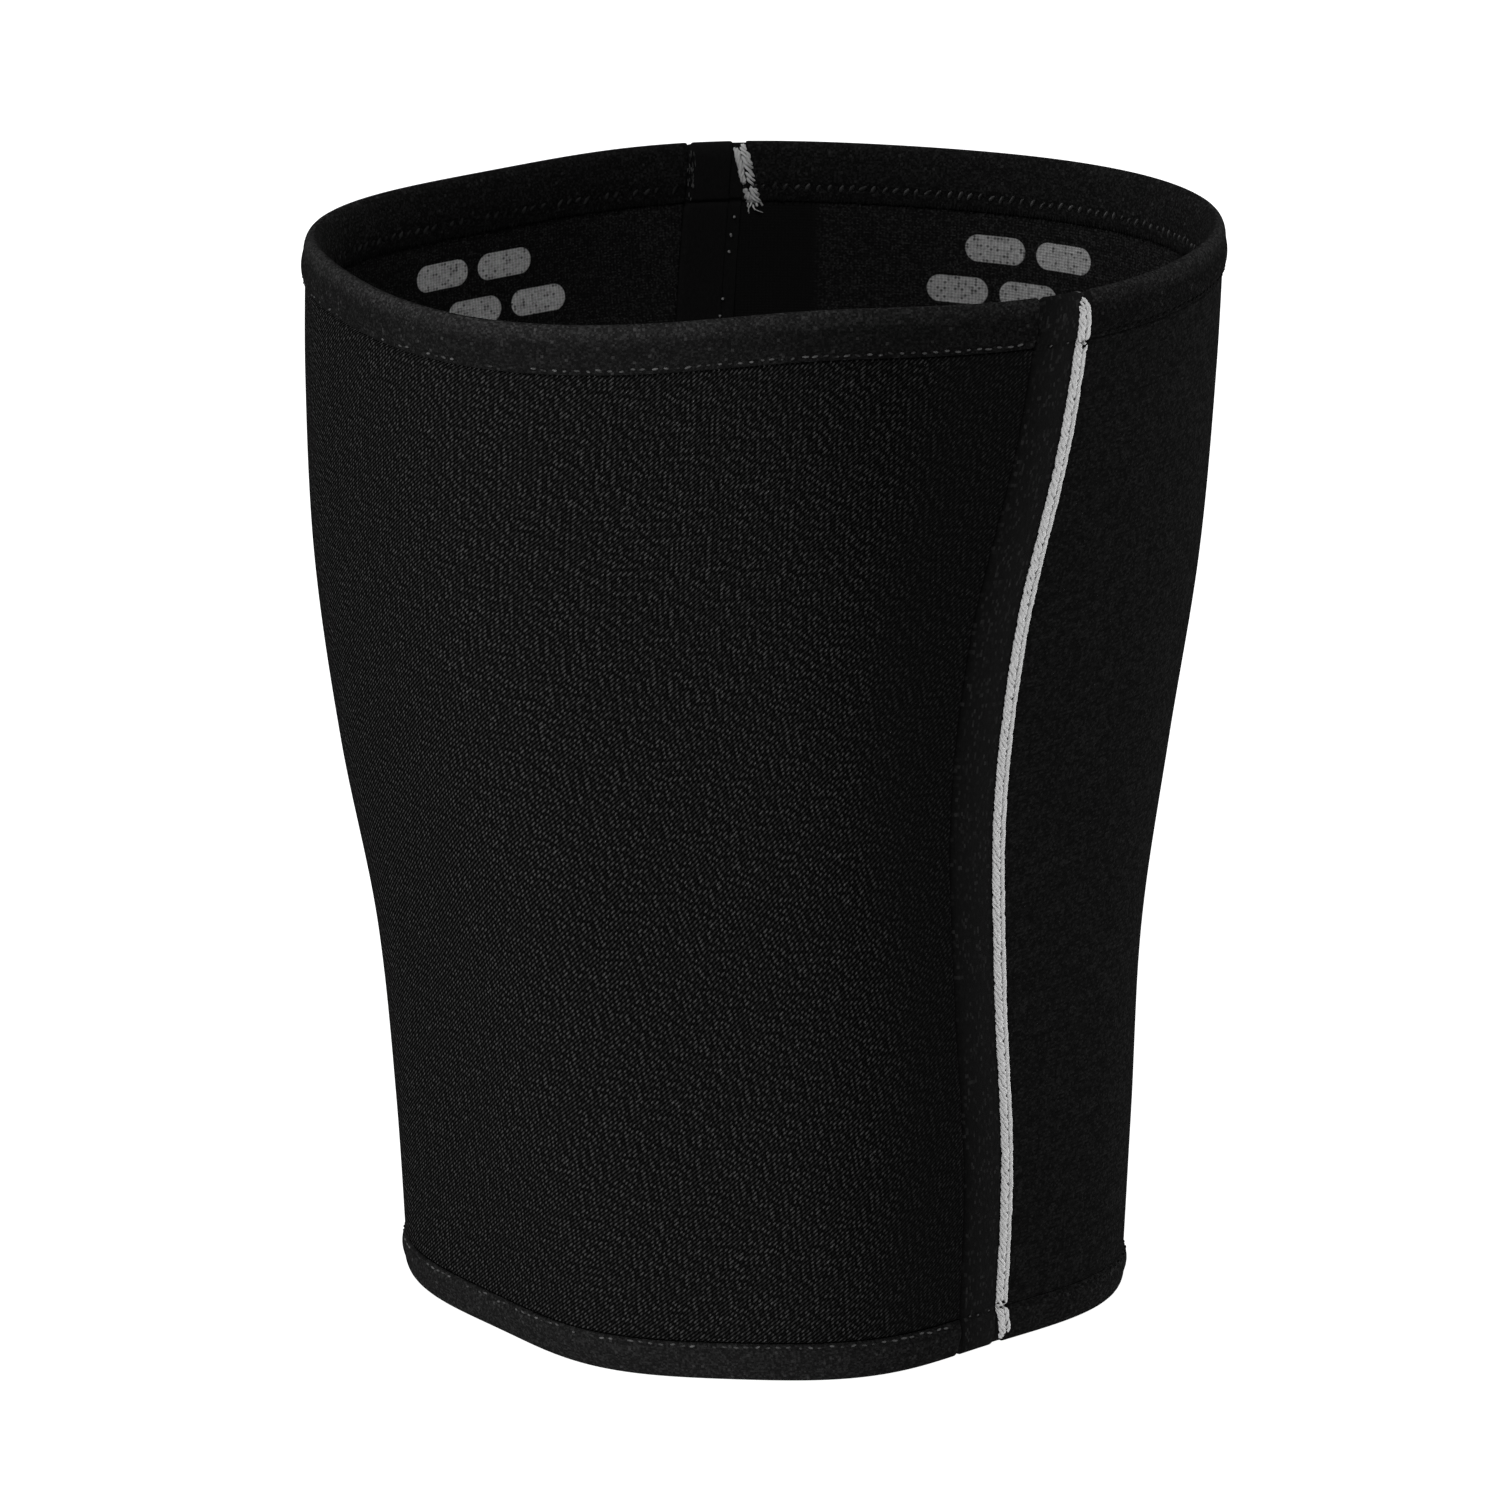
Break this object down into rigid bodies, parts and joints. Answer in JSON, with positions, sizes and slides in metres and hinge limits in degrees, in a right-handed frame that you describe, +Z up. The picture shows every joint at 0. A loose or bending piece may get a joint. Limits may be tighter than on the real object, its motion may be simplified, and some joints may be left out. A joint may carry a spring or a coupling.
{
  "type": "thigh compression sleeve",
  "caption": "Black neoprene thigh compression sleeve: a tapered open tube with folded hems, side seam strips and light grey piping, standing on its lower rim.",
  "frame": {"origin": "centre of the bounding box at the lower rim, which stands on the floor", "axes": "+Z up along the leg, from the knee end to the hip end; the front faces -Y"},
  "size_m": [0.1897, 0.1656, 0.2303],
  "materials": {
    "panel_knit": "black nylon knit on neoprene, matte, with fine slanted ribs",
    "rear_knit": "black nylon jersey on neoprene, matte and smooth",
    "hem_cloth": "black fine binding cloth, matte",
    "strip_cloth": "black brushed stretch cloth, matte",
    "piping_cord": "light grey braided cord"
  },
  "bodies": {
    "root": {"main_panel": "panel_knit", "rear_panel": "rear_knit", "main_top_hem": "hem_cloth", "main_bottom_hem": "hem_cloth", "rear_top_hem": "hem_cloth", "rear_bottom_hem": "hem_cloth", "near_seam_strip": "strip_cloth", "far_seam_strip": "strip_cloth", "near_piping": "piping_cord", "far_piping": "piping_cord"}
  },
  "joints": []
}
